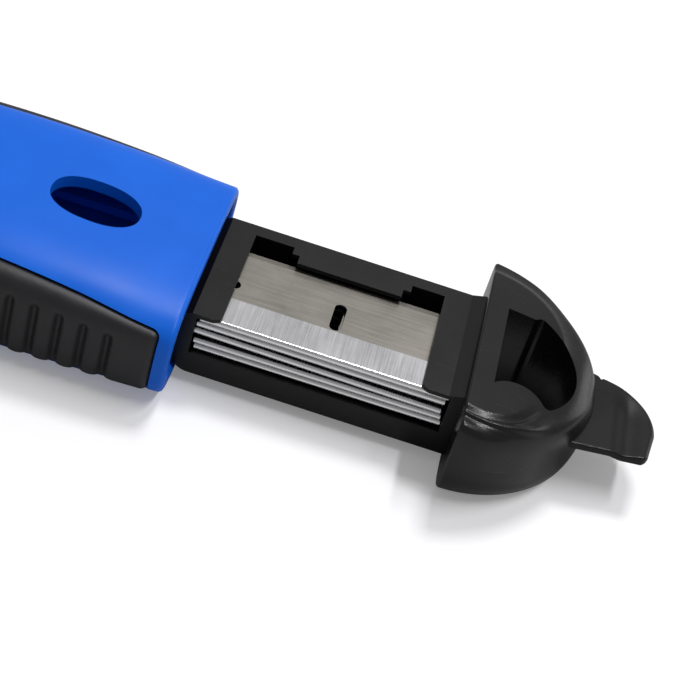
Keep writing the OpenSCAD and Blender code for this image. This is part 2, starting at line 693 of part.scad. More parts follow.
module magazine_tray() {
  y0 = -tray_w / 2;
  y1 = tray_w / 2;
  color(black) difference() {
    // Side profile with a rounded lower tip and a lead-in on top
    translate([0, y1, 0]) rotate([90, 0, 0]) linear_extrude(tray_w) union() {
      polygon([[tip_x, tray_z + tray_nose_r], [tip_x + tray_nose_r, tray_z], [flange_x, tray_z],
        [flange_x, tray_top + ramp_h], [flange_x - ramp_l, tray_top], [tip_x + lead_l, tray_top],
        [tip_x, tray_top - lead_h]]);
      translate([tip_x + tray_nose_r, tray_z + tray_nose_r]) circle(r = tray_nose_r);
    }
    // Space for the blades, open to the near side
    block([magazine_x - blade_l / 2 - blade_play, y0 - over, magazine_z],
      [magazine_x + blade_l / 2 + blade_play, rail_y, magazine_top]);
    difference() {
      block([window_x0, y0 - over, magazine_top - over], [window_x1, rail_y - window_lip, tray_top + over]);
      // Tongue over the cutting edges, wider at its root
      block([magazine_x - tongue_w / 2, rail_y - tongue_l, magazine_top - 2 * over],
        [magazine_x + tongue_w / 2, rail_y + over, tray_top + 2 * over]);
      block([magazine_x - tongue_w / 2 - tongue_step, rail_y - tongue_l / 2, magazine_top - 2 * over],
        [magazine_x + tongue_w / 2 + tongue_step, rail_y + over, tray_top + 2 * over]);
    }
    // Rounded inner corners of the two bars
    for (s = [-1, 1]) let (x = s < 0 ? window_x0 : window_x1) difference() {
      block([min(x, x + s * bar_corner_r), y0 - over, magazine_top - over],
        [max(x, x + s * bar_corner_r), y0 + bar_corner_r, tray_top + over]);
      translate([x + s * bar_corner_r, y0 + bar_corner_r, magazine_top - 2 * over])
        cylinder(h = plate_t + 4 * over, r = bar_corner_r);
    }
    // Coring from below
    for (k = [0 : core_count - 1]) let (x = tip_x + core_start + k * (core_l + core_rib))
      rounded_plan([x, y0 + core_wall, tray_z - over], [x + core_l, y1 - core_wall, magazine_z - core_floor],
        core_r);
  }
}

// End cap: a dome with a flat top, a D-shaped hole and three thumb ridges
cap_steps = 12;
cap_end_share = 0.985;
cap_crown = 1.2;
cap_mid_z = 7.6;
bite_r = 4.85;
bite_x = 7.35;
dee_step_x = 8.25;
dee_step = 0.7;
dee_far = handle_hw - dee_far_wall;
dee_near = handle_hw - dee_near_wall;
dee_r = cap_l - round_x - dee_end_wall;

function cap_u(k) = cap_end_share * sin(90 * k / cap_steps);
function cap_ring(u) =
  let (shrink = pow(1 - u * u, 0.6), high = pow(1 - pow(u, 5), 0.4), low = pow(1 - pow(u, 9), 0.4))
  ring(flange_x + cap_l * u, handle_hw * shrink, cap_mid_z * (1 - low) - belly_cut,
    cap_mid_z + (cap_h + cap_crown - cap_mid_z - cap_fall * u) * high, body_power, body_count);

module dee() {
  // Straight side towards the handle, round side towards the tab, near side bowed into the hole
  // and a small step in the far side
  difference() {
    intersection() {
      translate([flange_x + round_x, -round_y, -over]) cylinder(h = 2 * handle_h, r = dee_r);
      union() {
        block([flange_x + dee_x, -handle_hw, -2 * over], [flange_x + cap_l, dee_far, 3 * handle_h]);
        block([flange_x + dee_step_x, -round_y, -2 * over],
          [flange_x + cap_l, dee_far + dee_step, 3 * handle_h]);
      }
    }
    translate([flange_x + bite_x, -dee_near - bite_r, -2 * over]) cylinder(h = 3 * handle_h, r = bite_r);
  }
}

module end_cap() {
  fall_a = atan(cap_fall / cap_l);
  color(black) difference() {
    union() {
      intersection() {
        skin([for (k = [0 : cap_steps]) cap_ring(cap_u(k))]);
        translate([flange_x, 0, cap_h]) rotate([0, fall_a, 0])
          block([-cap_h, -2 * handle_hw, -2 * cap_h], [2 * cap_l, 2 * handle_hw, 0]);
        block([flange_x, -2 * handle_hw, 0], [flange_x + 2 * cap_l, 2 * handle_hw, 2 * cap_h]);
      }
      thumb_ridges();
    }
    dee();
    // Slot for the root of the pull tab
    block([flange_x + tab_root_x - seat, -tab_w / 2 - seat, tab_z - tab_t - seat],
      [flange_x + 2 * cap_l, tab_w / 2 + seat, tab_z + seat]);
  }
}

ridge_start_a = 262;
ridge_a = 48;
ridge_x = 3.9;
ridge_drops = [0, 0.5, 1.7];
ridge_inner_r = 11;
ridge_crest = 0.35;
ridge_root = 1.6;
ridge_shoulder = 1.5;
ridge_y = handle_hw - ridge_shoulder - (ridge_inner_r + 2 * ridge_pitch + ridge_t / 2);

// Three crescent ridges on the near shoulder, each on an arc round the end of the hole
module thumb_ridges() {
  half = ridge_t / 2;
  for (k = [0 : 2]) translate([flange_x + ridge_x, -ridge_y, cap_h - ridge_drops[k]])
    rotate([0, atan(cap_fall / cap_l), 0]) rotate([0, 0, ridge_start_a])
      rotate_extrude(angle = ridge_a) translate([ridge_inner_r + k * ridge_pitch, 0])
        polygon([[-half, -ridge_root], [half, -ridge_root], [half, 0], [half / 2, ridge_crest],
          [-half / 2, ridge_crest], [-half, 0]]);
}

// Pull tab: a thin tongue that leaves the dome, dips and ends in a rounded lip
tab_root_l = 3.4;
tab_root_x = cap_l - tab_root_l;
tab_dip = 0.6;
lip_r = 1.1;
tab_valley = 4.4;
valley_slope = 1.6;
valley_floor = 1.2;
tab_near_y = 7.6;
tab_corner_r = 1.4;
tab_corner_set = 0.6;
tab_far_r = 9.4;
tab_far_y = 1.4;

// Plan of the tab: a straight near side with a small corner, then one great arc to the far side
function tab_plan(x0, x1) = concat([[x0, -tab_w / 2]],
  [for (a = [-90 : 15 : 0]) [x1 - tab_corner_set - tab_corner_r * (1 - cos(a)),
    -tab_near_y + tab_corner_r * (1 + sin(a))]],
  [for (a = [-15 : 7.5 : 75]) [x1 - tab_far_r * (1 - cos(a)), -tab_far_y + tab_far_r * sin(a)]],
  [[x0, tab_w / 2]]);

module pull_tab() {
  x0 = flange_x + tab_root_x;
  x1 = tab_tip_x;
  valley_x = x1 - tab_valley;
  low = tab_z - tab_t;
  color(black) intersection() {
    translate([0, tab_w, 0]) rotate([90, 0, 0]) linear_extrude(2 * tab_w) union() {
      polygon([[x0, low], [valley_x - valley_slope, low], [valley_x, low - tab_dip],
        [x1 - lip_r, low - tab_dip], [x1 - lip_r, low - tab_dip + 2 * lip_r],
        [valley_x + valley_floor, tab_z - tab_dip], [valley_x, tab_z - tab_dip],
        [valley_x - valley_slope, tab_z], [x0, tab_z]]);
      translate([x1 - lip_r, low - tab_dip + lip_r]) circle(r = lip_r);
    }
    linear_extrude(handle_h) polygon(tab_plan(x0, x1));
  }
}

in_frame() upper_shell();
in_frame() lower_shell();
in_frame() grip_near();
in_frame() grip_far();
in_frame() shell_screws();
in_frame() nose_housing();
in_frame() blade_carrier();
in_frame() thumb_slider();
in_frame() slider_screw();
in_frame() detent_spring();
in_frame() working_blade();
in_frame() working_spine();
in_frame() magazine_tray();
in_frame() end_cap();
in_frame() pull_tab();
in_frame() spare_blade(0);  // spare_blade_1
in_frame() spare_spine(0);  // spare_spine_1
in_frame() spare_blade(1);  // spare_blade_2
in_frame() spare_spine(1);  // spare_spine_2
in_frame() spare_blade(2);  // spare_blade_3
in_frame() spare_spine(2);  // spare_spine_3
in_frame() spare_blade(3);  // spare_blade_4
in_frame() spare_spine(3);  // spare_spine_4
in_frame() spare_blade(4);  // spare_blade_5
in_frame() spare_spine(4);  // spare_spine_5
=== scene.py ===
import math
import bmesh
import bpy
import numpy as np
from mathutils import Matrix, Vector


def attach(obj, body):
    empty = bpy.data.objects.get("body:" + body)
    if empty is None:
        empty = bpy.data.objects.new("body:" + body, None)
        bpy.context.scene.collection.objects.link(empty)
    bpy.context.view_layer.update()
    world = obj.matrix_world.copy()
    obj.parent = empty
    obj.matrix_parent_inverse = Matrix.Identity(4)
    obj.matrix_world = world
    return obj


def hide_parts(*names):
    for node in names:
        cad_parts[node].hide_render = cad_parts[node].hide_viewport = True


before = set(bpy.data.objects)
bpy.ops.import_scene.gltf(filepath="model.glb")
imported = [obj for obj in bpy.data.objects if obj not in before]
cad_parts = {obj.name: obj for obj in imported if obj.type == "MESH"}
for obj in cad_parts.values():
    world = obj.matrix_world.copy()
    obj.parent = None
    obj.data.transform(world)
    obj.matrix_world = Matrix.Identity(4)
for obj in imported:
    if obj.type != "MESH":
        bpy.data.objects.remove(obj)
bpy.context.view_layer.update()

mm = 0.001
mouthX = 24.8  # lengths below are in mm, with x = 0 at the handle's mouth, here in the frame


def addObject(name, data):
    made = bpy.data.objects.new(name, data)
    bpy.context.scene.collection.objects.link(made)
    return made


# The camera, fitted to the blades, the tray and the cap of the photograph
cameraFit = {"azimuth": -0.749, "elevation": 39.049, "roll": 18.399, "focalPixels": 1854.4,
             "imageWidth": 700, "sensorWidth": 36, "place": (0.046248, -0.220753, 0.184592),
             "clip": (0.01, 20)}


def makeCamera(fit):
    a, e, r = (math.radians(fit[k]) for k in ("azimuth", "elevation", "roll"))
    back = Vector((math.sin(a) * math.cos(e), -math.cos(a) * math.cos(e), math.sin(e)))
    right = Vector((math.cos(a), math.sin(a), 0))
    up = back.cross(right)
    axisX = right * math.cos(r) + up * math.sin(r)
    axisY = up * math.cos(r) - right * math.sin(r)
    data = bpy.data.cameras.new("photoCamera")
    data.sensor_width = fit["sensorWidth"]
    data.lens = fit["sensorWidth"] * fit["focalPixels"] / fit["imageWidth"]
    data.clip_start, data.clip_end = fit["clip"]
    camera = addObject("photoCamera", data)
    turn = Matrix((axisX, axisY, back)).transposed()
    camera.matrix_world = Matrix.Translation(fit["place"]) @ turn.to_4x4()
    bpy.context.scene.camera = camera


makeCamera(cameraFit)


# Shader writing: a wire is a value in the node tree, and sums on it add Math nodes
class Wire:
    def __init__(self, finish, socket):
        self.finish, self.socket = finish, socket

    def __add__(self, other): return self.finish.math("ADD", self, other)
    def __radd__(self, other): return self.finish.math("ADD", other, self)
    def __sub__(self, other): return self.finish.math("SUBTRACT", self, other)
    def __rsub__(self, other): return self.finish.math("SUBTRACT", other, self)
    def __mul__(self, other): return self.finish.math("MULTIPLY", self, other)
    def __rmul__(self, other): return self.finish.math("MULTIPLY", other, self)
    def __abs__(self): return self.finish.math("ABSOLUTE", self, 0.0)


class Finish:
    def __init__(self, name, **fixed):
        self.material = bpy.data.materials.new(name)
        self.material.use_nodes = True
        self.tree = self.material.node_tree
        self.tree.nodes.clear()
        out = self.tree.nodes.new("ShaderNodeOutputMaterial")
        self.shader = self.tree.nodes.new("ShaderNodeBsdfPrincipled")
        self.tree.links.new(self.shader.outputs[0], out.inputs[0])
        self.place = self.node("ShaderNodeTexCoord", output="Object")
        self.paint(**fixed)  # the same all over, so straight on the socket

    def node(self, kind, settings=None, output=0, **values):
        made = self.tree.nodes.new(kind)
        for key, value in (settings or {}).items():
            setattr(made, key, value)
        for key, value in values.items():  # a socket's name, or s and its number
            socket = int(key[1:]) if key[1:].isdigit() else key.replace("_", " ")
            self.feed(made.inputs[socket], value)
        return Wire(self, made.outputs[output])

    def feed(self, socket, value):
        if isinstance(value, Wire):
            self.tree.links.new(value.socket, socket)
        else:
            socket.default_value = value

    def paint(self, **sockets):
        for key, value in sockets.items():
            self.feed(self.shader.inputs[key.replace("_", " ")], value)
        return self.material

    def math(self, operation, a, b, clamp=False):
        return self.node("ShaderNodeMath", {"operation": operation, "use_clamp": clamp}, s0=a, s1=b)

    def mix(self, share, a, b):
        return self.node("ShaderNodeMix", {"data_type": "RGBA"}, output=2, s0=share, s6=a, s7=b)

    def stretched(self, sx, sy, sz):
        return self.node("ShaderNodeMapping", Vector=self.place, Scale=(sx, sy, sz))

    def noise(self, scale, detail, rough=0.55, where=None):
        return self.node("ShaderNodeTexNoise", Vector=where or self.place, Scale=scale,
                         Detail=detail, Roughness=rough)

    def band(self, value, low, high):
        return self.node("ShaderNodeMapRange", {"interpolation_type": "SMOOTHSTEP"}, Value=value,
                         From_Min=low, From_Max=high)

    def facingUp(self):  # how far up the surface faces, from -1 to 1
        normal = self.node("ShaderNodeNewGeometry", output="Normal")
        return self.node("ShaderNodeSeparateXYZ", output="Z", Vector=normal)

    def bump(self, height, strength, distance):
        return self.node("ShaderNodeBump", Height=height, Strength=strength, Distance=distance)


# Moulded plastic: a faint cloud in the colour, a fine spark-eroded grain and a few hair scratches
blueLook = {"deep": (0.002, 0.115, 0.66, 1), "light": (0.005, 0.15, 0.8, 1), "grain": 0.00035,
            "rough": 0.37, "ior": 1.29, "bump": 0.12}
blackLook = {"deep": (0.003, 0.003, 0.0038, 1), "light": (0.0075, 0.0075, 0.009, 1),
             "grain": 0.0003, "rough": 0.24, "ior": 1.43, "bump": 0.3}
tabLook = {**blackLook, "rough": 0.3, "ior": 1.34, "bump": 0.12}
trayLook = {"deep": (0.0015, 0.0015, 0.002, 1), "light": (0.0035, 0.0035, 0.0045, 1),
            "grain": 0.0003, "rough": 0.34, "ior": 1.37, "bump": 0.16}
plasticWear = {"cloudScale": 90, "cloudRough": 0.14, "grainRough": 0.12, "depth": 0.00006,
               "hairStretch": (60, 1800, 1800), "hairBand": (0.66, 0.72), "hairRough": 0.08,
               "hairHeight": 0.18}


def mouldedPlastic(name, look):
    f, wear = Finish(name, IOR=look["ior"]), plasticWear
    cloud = f.noise(wear["cloudScale"], detail=2)
    grain = f.noise(1 / look["grain"], detail=2)
    hair = f.noise(1, detail=2, rough=0.6, where=f.stretched(*wear["hairStretch"]))
    hair = f.band(hair, *wear["hairBand"])
    rough = look["rough"] + (cloud - 0.5) * wear["cloudRough"] \
        + (grain - 0.5) * wear["grainRough"] + hair * wear["hairRough"]
    normal = f.bump(grain + hair * wear["hairHeight"], look["bump"], wear["depth"])
    return f.paint(Base_Color=f.mix(cloud, look["deep"], look["light"]), Roughness=rough,
                   Normal=normal)


# Rubber: matte, slightly dusty on what faces up, with a soft fine grain
rubberLook = {"deep": (0.011, 0.011, 0.0135, 1), "dust": (0.036, 0.036, 0.041, 1), "ior": 1.5,
              "cloudScale": 220, "dustFacing": (0.1, 1.0), "dustPatches": (0.35, 0.75),
              "dustShare": 0.6, "rough": 0.5, "cloudRough": 0.16, "grainRough": 0.1,
              "grain": 0.00045, "bump": 0.3, "depth": 0.00008}


def gripRubber(look):
    f = Finish("gripRubber", IOR=look["ior"])
    cloud = f.noise(look["cloudScale"], detail=3)
    grain = f.noise(1 / look["grain"], detail=3)
    dust = f.band(f.facingUp(), *look["dustFacing"]) * f.band(cloud, *look["dustPatches"])
    rough = look["rough"] + (cloud - 0.5) * look["cloudRough"] + (grain - 0.5) * look["grainRough"]
    return f.paint(Base_Color=f.mix(dust * look["dustShare"], look["deep"], look["dust"]),
                   Roughness=rough, Normal=f.bump(grain, look["bump"], look["depth"]))


# Rolled steel: streaks along one way of the sheet, dull patches of oil film, faint specks, and a
# painted highlight where faces stand upright, which get a much brighter colour
# the last colour of each look is a painted highlight, given to faces that stand upright
bladeLook = {"dark": (0.23, 0.215, 0.195, 1), "light": (0.3, 0.281, 0.256, 1),
             "paintedHighlight": (0.4, 0.385, 0.36, 1), "rough": 0.36, "cloud": 0.62, "specks": 1.0,
             "streaks": (110, 2600, 2600)}
spineLook = {"dark": (0.52, 0.52, 0.535, 1), "light": (0.64, 0.64, 0.655, 1),
             "paintedHighlight": (0.96, 0.96, 0.97, 1), "rough": 0.28, "cloud": 0.5, "specks": 0.3,
             "streaks": (4200, 110, 110)}
steelWear = {"patchScale": 140, "speckScale": 1500, "speckBand": (0.68, 0.74), "speckDark": -0.5,
             "paintedHighlightBand": (0.35, 0.9), "streakRough": 0.16, "patchRough": 0.12, "bump": 0.035,
             "depth": 0.00002}


def rolledSteel(name, look, turned=False):  # turned: for a blade that lies across the handle
    f, wear = Finish(name, Metallic=1.0), steelWear
    sx, sy, sz = look["streaks"]
    stretch = f.stretched(sy, sx, sz) if turned else f.stretched(sx, sy, sz)
    streak = f.noise(1, detail=2, rough=0.6, where=stretch)
    patch = f.noise(wear["patchScale"], detail=3)
    speck = f.noise(wear["speckScale"], detail=1)
    speck = f.band(speck, *wear["speckBand"]) * look["specks"]
    share = f.math("ADD", streak * (1 - look["cloud"]) + patch * look["cloud"],
                   speck * wear["speckDark"], clamp=True)
    back = 1 - f.band(abs(f.facingUp()), *wear["paintedHighlightBand"])  # painted highlight: faces that stand upright get the brighter colour
    colour = f.mix(back, f.mix(share, look["dark"], look["light"]), look["paintedHighlight"])
    rough = look["rough"] + (streak - 0.5) * wear["streakRough"] \
        + (patch - 0.5) * wear["patchRough"]
    return f.paint(Base_Color=colour, Roughness=rough,
                   Normal=f.bump(streak, wear["bump"], wear["depth"]))


# Plated steel of the screws and the detent leaf
platedLook = {"dark": (0.45, 0.45, 0.46, 1), "light": (0.66, 0.66, 0.67, 1), "turnedScale": 900,
              "patchScale": 300, "rough": 0.28, "turnedRough": 0.14, "bump": 0.1, "depth": 0.00003}


def platedSteel(look):
    f = Finish("platedSteel", Metallic=1.0)
    turned = f.noise(look["turnedScale"], detail=2)
    patch = f.noise(look["patchScale"], detail=2)
    return f.paint(Base_Color=f.mix(patch, look["dark"], look["light"]),
                   Roughness=look["rough"] + turned * look["turnedRough"],
                   Normal=f.bump(turned, look["bump"], look["depth"]))


bluePlastic = mouldedPlastic("bluePlastic", blueLook)
blackPlastic = mouldedPlastic("blackPlastic", blackLook)
trayPlastic = mouldedPlastic("trayPlastic", trayLook)
tabPlastic = mouldedPlastic("tabPlastic", tabLook)
rubber = gripRubber(rubberLook)
bladeSteel = rolledSteel("bladeSteel", bladeLook)
bladeSteelTurned = rolledSteel("bladeSteelTurned", bladeLook, turned=True)
spineSteel = rolledSteel("spineSteel", spineLook)
spineSteelTurned = rolledSteel("spineSteelTurned", spineLook, turned=True)
plated = platedSteel(platedLook)
print("stage 2: finishes made")


# Mesh tools: most pieces are rings of points, each ring closed on itself. Points closer than the
# merge distance, in metres, become one; a cutter's edges over its angle are sharp
meshing = {"merge": 1e-7, "cutterSharp": 30}


def gridFaces(rows, columns):
    # quads between neighbouring rings
    r = np.arange(rows - 1)[:, None]
    c = np.arange(columns)[None, :]
    n = (c + 1) % columns
    return np.stack([r * columns + c, r * columns + n, (r + 1) * columns + n,
                     (r + 1) * columns + c], -1).reshape(-1, 4).tolist()


def stripEnds(rows, columns):
    # closes the ends where a ring runs out along one side and back along the other
    i = np.arange(columns // 2 - 1)
    first = np.stack([i, columns - 1 - i, columns - 2 - i, i + 1], -1)
    last = first[:, ::-1] + (rows - 1) * columns
    return first.tolist() + last.tolist()


def discEnds(rows, columns):
    # closes each end with one face
    ring = np.arange(columns)
    return [ring[::-1].tolist(), (ring + (rows - 1) * columns).tolist()]


def dress(piece, material, sharpAngle=None):
    # one material all over, and smooth shading between sharp edges
    piece.data.materials.clear()
    if material:
        piece.data.materials.append(material)
    if sharpAngle:
        piece.data.shade_smooth()
        piece.data.set_sharp_from_angle(angle=math.radians(sharpAngle))


def newPiece(name, points, faces, material, sharpAngle):
    # points: any array of x, y, z in mm from the handle's mouth
    place = (points.reshape(-1, 3) + np.array([mouthX, 0, 0])) * mm
    mesh = bpy.data.meshes.new(name)
    mesh.from_pydata(place.tolist(), [], faces)
    work = bmesh.new()
    work.from_mesh(mesh)
    bmesh.ops.remove_doubles(work, verts=work.verts, dist=meshing["merge"])
    bmesh.ops.recalc_face_normals(work, faces=work.faces)
    work.to_mesh(mesh)
    work.free()
    piece = addObject(name, mesh)
    dress(piece, material, sharpAngle)
    return piece


def ringPiece(name, rings, ends, material=None, sharpAngle=meshing["cutterSharp"]):
    size = rings.shape[:2]
    return newPiece(name, rings, gridFaces(*size) + ends(*size), material, sharpAngle)


def bakeModifiers(piece):
    # the mesh as its modifiers make it becomes the mesh itself
    shown = piece.evaluated_get(bpy.context.evaluated_depsgraph_get())
    mesh = bpy.data.meshes.new_from_object(shown)
    piece.modifiers.clear()
    piece.data = mesh


def carve(piece, *cutters):
    for cutter in cutters:
        cut = piece.modifiers.new("cut", "BOOLEAN")
        cut.operation, cut.solver, cut.object = "DIFFERENCE", "EXACT", cutter
    bakeModifiers(piece)
    for cutter in cutters:
        bpy.data.objects.remove(cutter)


def softenEdges(piece, width, angle=40, segments=2, flatAngle=None):
    # rounds edges over the angle; those over the flat angle shade as sharp first
    edge = piece.modifiers.new("edge", "BEVEL")
    edge.width, edge.segments, edge.limit_method = width * mm, segments, "ANGLE"
    edge.angle_limit = math.radians(angle)
    edge.use_clamp_overlap = True
    edge.harden_normals = True
    piece.data.shade_smooth()
    if flatAngle:
        piece.data.set_sharp_from_angle(angle=math.radians(flatAngle))
    bakeModifiers(piece)


def blockPoints(x, y, z):
    # a box's eight corners as two rings of four, from its reach along x, y and z
    return np.array([[[end, y[0], z[0]], [end, y[1], z[0]], [end, y[1], z[1]], [end, y[0], z[1]]]
                     for end in x], float)


def block(name, x, y, z):
    return ringPiece(name, blockPoints(x, y, z), discEnds)


def prism(name, outline, heights):
    # an outline of x, y points drawn up from one height to the other
    rings = np.stack([np.column_stack([outline, np.full(len(outline), z)]) for z in heights])
    return ringPiece(name, rings, discEnds)


def arc(cx, cy, r, a0, a1, count):
    # points of a circle's arc, angles in degrees
    a = np.radians(np.linspace(a0, a1, count))
    return np.column_stack([cx + r * np.cos(a), cy + r * np.sin(a)])


def ovalPoint(halfWidth, halfHeight, turn, power):
    # |across / half width| ^ power + |up / half height| ^ power = 1, at an angle round the oval
    c, s = np.cos(turn), np.sin(turn)
    reach = (np.abs(c) ** power + np.abs(s) ** power) ** (-1 / power)
    return halfWidth * reach * c, halfHeight * reach * s


def curveThrough(values, share):
    # a smooth curve through evenly spaced values: a cubic in each gap, whose slope at each value is
    # that of the line between the value's neighbours
    v = np.asarray(values, float)
    last = len(v) - 1
    t = np.clip(share, 0, 1) * last
    i = np.minimum(np.floor(t).astype(int), last - 1)
    f = t - i
    a, b, c, d = v[np.maximum(i - 1, 0)], v[i], v[i + 1], v[np.minimum(i + 2, last)]
    cubic = f * (1.5 * b - 1.5 * c + (d - a) / 2)
    return b + f * ((c - a) / 2 + f * (a - 2.5 * b + 2 * c - d / 2 + cubic))


def smooth(value, low, high):
    # 0 below low, 1 above high, and 3 t^2 - 2 t^3 between
    t = np.clip((value - low) / (high - low), 0, 1)
    return t * t * (3 - 2 * t)


def quarterFall(past, r):
    # how far a quarter circle of radius r has turned in, at a distance past its start
    d = np.clip(past, 0, r)
    return r - np.sqrt(np.maximum(r * r - d * d, 0))


def adopt(piece, body, slotName, *nodes):
    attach(piece, body)
    if nodes:
        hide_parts(*nodes)


# The handle: a squared-off oval section that swells and narrows along x. Widths, tops and bottoms
# are evenly spaced from the mouth to the nose, as shares of half width, height and belly rise
handle = {"length": 92.0, "halfWidth": 21.0, "height": 16.4, "bellyCut": 0.8, "bellyRise": 1.2,
          "sideWall": 2.6, "flatWall": 2.0, "seam": 4.5, "power": 4.0, "rimRound": 0.75,
          "seat": 0.05, "seatTurn": 0.3, "trayFloor": 13.6, "edgeRound": 0.35, "edgeAngle": 55,
          "edgeSteps": 3, "sharpAngle": 34,
          "widths": [1, 1.01, 1, 0.97, 0.94, 0.935, 0.98],
          "tops": [1, 1.065, 1.11, 1.11, 1.07, 1.005, 0.92],
          "bottoms": [1, 0.4, 0, 0, 0, 0.25, 0.75]}
grips = {"start": -2.2, "end": -84.0, "thick": 1.4, "pitch": 3.7, "grooveWidth": 2.1,
         "grooveDepth": 0.75, "margin": 5.2, "lowAngle": -36.0, "topAngle": 46.0,
         "tops": [0.62, 0.84, 0.95, 1, 0.95, 0.8, 0.6], "proud": 0.3, "edgeDrop": 0.45,
         "pillowReach": 1.3, "plainBand": 3.0, "cornerRound": 1.3, "turnReach": 15.0,
         "heightShare": 0.86, "swell": 0.2, "swellFade": (-0.5, 2.0), "lowFade": (0.2, 2.6),
         "sharpAngle": 50, "counts": {"along": 460, "up": 44}}
# points along the shells (back, under the grips, front, mouth's rim, grips' corners) and around
# them; the doubled ones are a pair's distance apart
shellGrid = {"back": 14, "middle": 130, "front": 4, "rim": 7, "corner": 9, "pair": 0.004,
             "side": 16, "over": 90}


def handleCurve(key, x): return curveThrough(handle[key], -x / handle["length"])
def bodyWidth(x): return handle["halfWidth"] * handleCurve("widths", x)
def bodyTop(x): return handle["height"] * handleCurve("tops", x)
def bodyBottom(x): return handle["bellyRise"] * handleCurve("bottoms", x) - handle["bellyCut"]


def sectionPoint(x, turn, inset):
    # the handle's oval at x and an angle round it, set in on all sides
    z0, z1 = bodyBottom(x) + inset, bodyTop(x) - inset
    y, z = ovalPoint(bodyWidth(x) - inset, (z1 - z0) / 2, turn, handle["power"])
    return y, (z0 + z1) / 2 + z


def turnAtHeight(z, z0, z1):
    # the angle at which an oval that reaches from z0 to z1 passes the height z
    v = (z - (z0 + z1) / 2) / ((z1 - z0) / 2)
    return np.arctan2(v, (1 - np.abs(v) ** handle["power"]) ** (1 / handle["power"]))


def turnOfShare(angle):
    # the grips' edges are drawn by the angle a with y ~ cos(a) ^ (2/p), z ~ sin(a) ^ (2/p)
    c, s = np.cos(np.radians(angle)), np.sin(np.radians(angle))
    power = 2 / handle["power"]
    return np.arctan2(np.sign(s) * np.abs(s) ** power, c ** power)


def gripTopTurn(x):
    # the upper edge, rounded down at both ends by a quarter circle
    share = (x - grips["start"]) / (grips["end"] - grips["start"])
    r = grips["cornerRound"]
    fall = quarterFall(r - np.minimum(x - grips["end"], grips["start"] - x), r)
    top = grips["topAngle"] * curveThrough(grips["tops"], share)
    return turnOfShare(top) - fall / grips["turnReach"]


def shellStations():
    # close together at the mouth's rounded rim, doubled at the ends of the grips' recesses
    g, pair = shellGrid, shellGrid["pair"]
    a, b = grips["end"] - handle["seat"], grips["start"] + handle["seat"]
    rim = -handle["rimRound"] * (1 - np.sin(np.radians(np.linspace(0, 90, g["rim"]))))
    corner = grips["cornerRound"] * (1 - np.cos(np.radians(np.linspace(0, 90, g["corner"]))))
    x = np.concatenate([np.linspace(-handle["length"], a - pair, g["back"]),
                        a + pair + corner[:-1],
                        np.linspace(a + corner[-1], b - corner[-1], g["middle"]),
                        b - pair - corner[-2::-1],
                        np.linspace(b + pair, rim[0], g["front"]), rim[1:]])
    return x[:, None], ((x > a) & (x < b))[:, None]


def shellOutside(x, recessed, rim, upper):
    # the handle's oval from seam to seam, set in by the grips' thickness between seam and grip edge
    deep = np.where(recessed, grips["thick"] + handle["seat"], 0.0)
    seam, gap = handle["seam"], math.radians(handle["seatTurn"])
    start = turnAtHeight(seam, bodyBottom(x), bodyTop(x))
    edge = gripTopTurn(x) + gap if upper else turnOfShare(grips["lowAngle"]) - gap + 0 * x
    side = np.linspace(0, 1, shellGrid["side"])[None, :]
    over = np.linspace(0, 1, shellGrid["over"])[None, :]
    far = np.pi if upper else -np.pi
    parts = [sectionPoint(x, start + (edge - start) * side, deep + rim + 0 * side),
             sectionPoint(x, edge + (far - 2 * edge) * over, rim + 0 * over),
             sectionPoint(x, far - edge + (edge - start) * side, deep + rim + 0 * side)]
    y, z = (np.concatenate(part, 1) for part in zip(*parts))
    # the seam stays level where the skin is set in
    z = np.maximum(z, seam) if upper else np.clip(z, rim, seam)
    z[:, [0, -1]] = seam
    return y, z


def shellInside(x, rim, upper, count):
    # an oval set in by the walls, with a level floor under the tray in the lower shell
    flat, seam = handle["flatWall"], handle["seam"]
    low = bodyBottom(x) + flat + (0 if upper else handle["bellyCut"]) - rim
    high = bodyTop(x) - flat + rim
    far = np.pi if upper else -np.pi
    start = turnAtHeight(seam, low, high)
    turn = start + (far - 2 * start) * np.linspace(0, 1, count)[None, :]
    halfWidth = bodyWidth(x) - handle["sideWall"] + rim
    y, z = ovalPoint(halfWidth, (high - low) / 2, turn, handle["power"])
    z = (low + high) / 2 + z
    if not upper:
        z = np.where(np.abs(y) < handle["trayFloor"], np.minimum(z, flat), z)
        z = np.minimum(z, seam)
    return y, z


def stripRings(x, outside, inside):
    # each ring runs out along the outside and back along the inside
    y, z = (np.concatenate([out, back[:, ::-1]], 1) for out, back in zip(outside, inside))
    return np.stack([x + 0 * y, y, z], -1)


def shellHalf(name, upper):
    x, recessed = shellStations()
    rim = quarterFall(x + handle["rimRound"], handle["rimRound"])
    outside = shellOutside(x, recessed, rim, upper)
    inside = shellInside(x, rim, upper, outside[0].shape[1])
    return ringPiece(name, stripRings(x, outside, inside), stripEnds, bluePlastic,
                     handle["sharpAngle"])


windowCut = {"x": -18.5, "halfLength": 7.0, "halfWidth": 5.0, "power": 2.3, "count": 72,
             "heights": (12.5, 30)}
sliderBay = {"x": (-84.4, -57.1), "halfWidth": 6.4, "corner": 1.5, "cornerCount": 9,
             "deck": 14.8, "above": 30, "track": (-79.7, -61.8), "trackHalf": 2.5,
             "trackHeights": (10, 20), "plate": (-85.9, -55.6), "plateHalf": 7.9, "under": 12.4,
             "plateDrop": 0.01}


def windowOutline():
    # an oval a little squarer than an ellipse, by its power
    turn =np.radians(np.linspace(0, 360, windowCut["count"], endpoint=False))
    x, y = ovalPoint(windowCut["halfLength"], windowCut["halfWidth"], turn, windowCut["power"])
    return np.column_stack([windowCut["x"] + x, y])


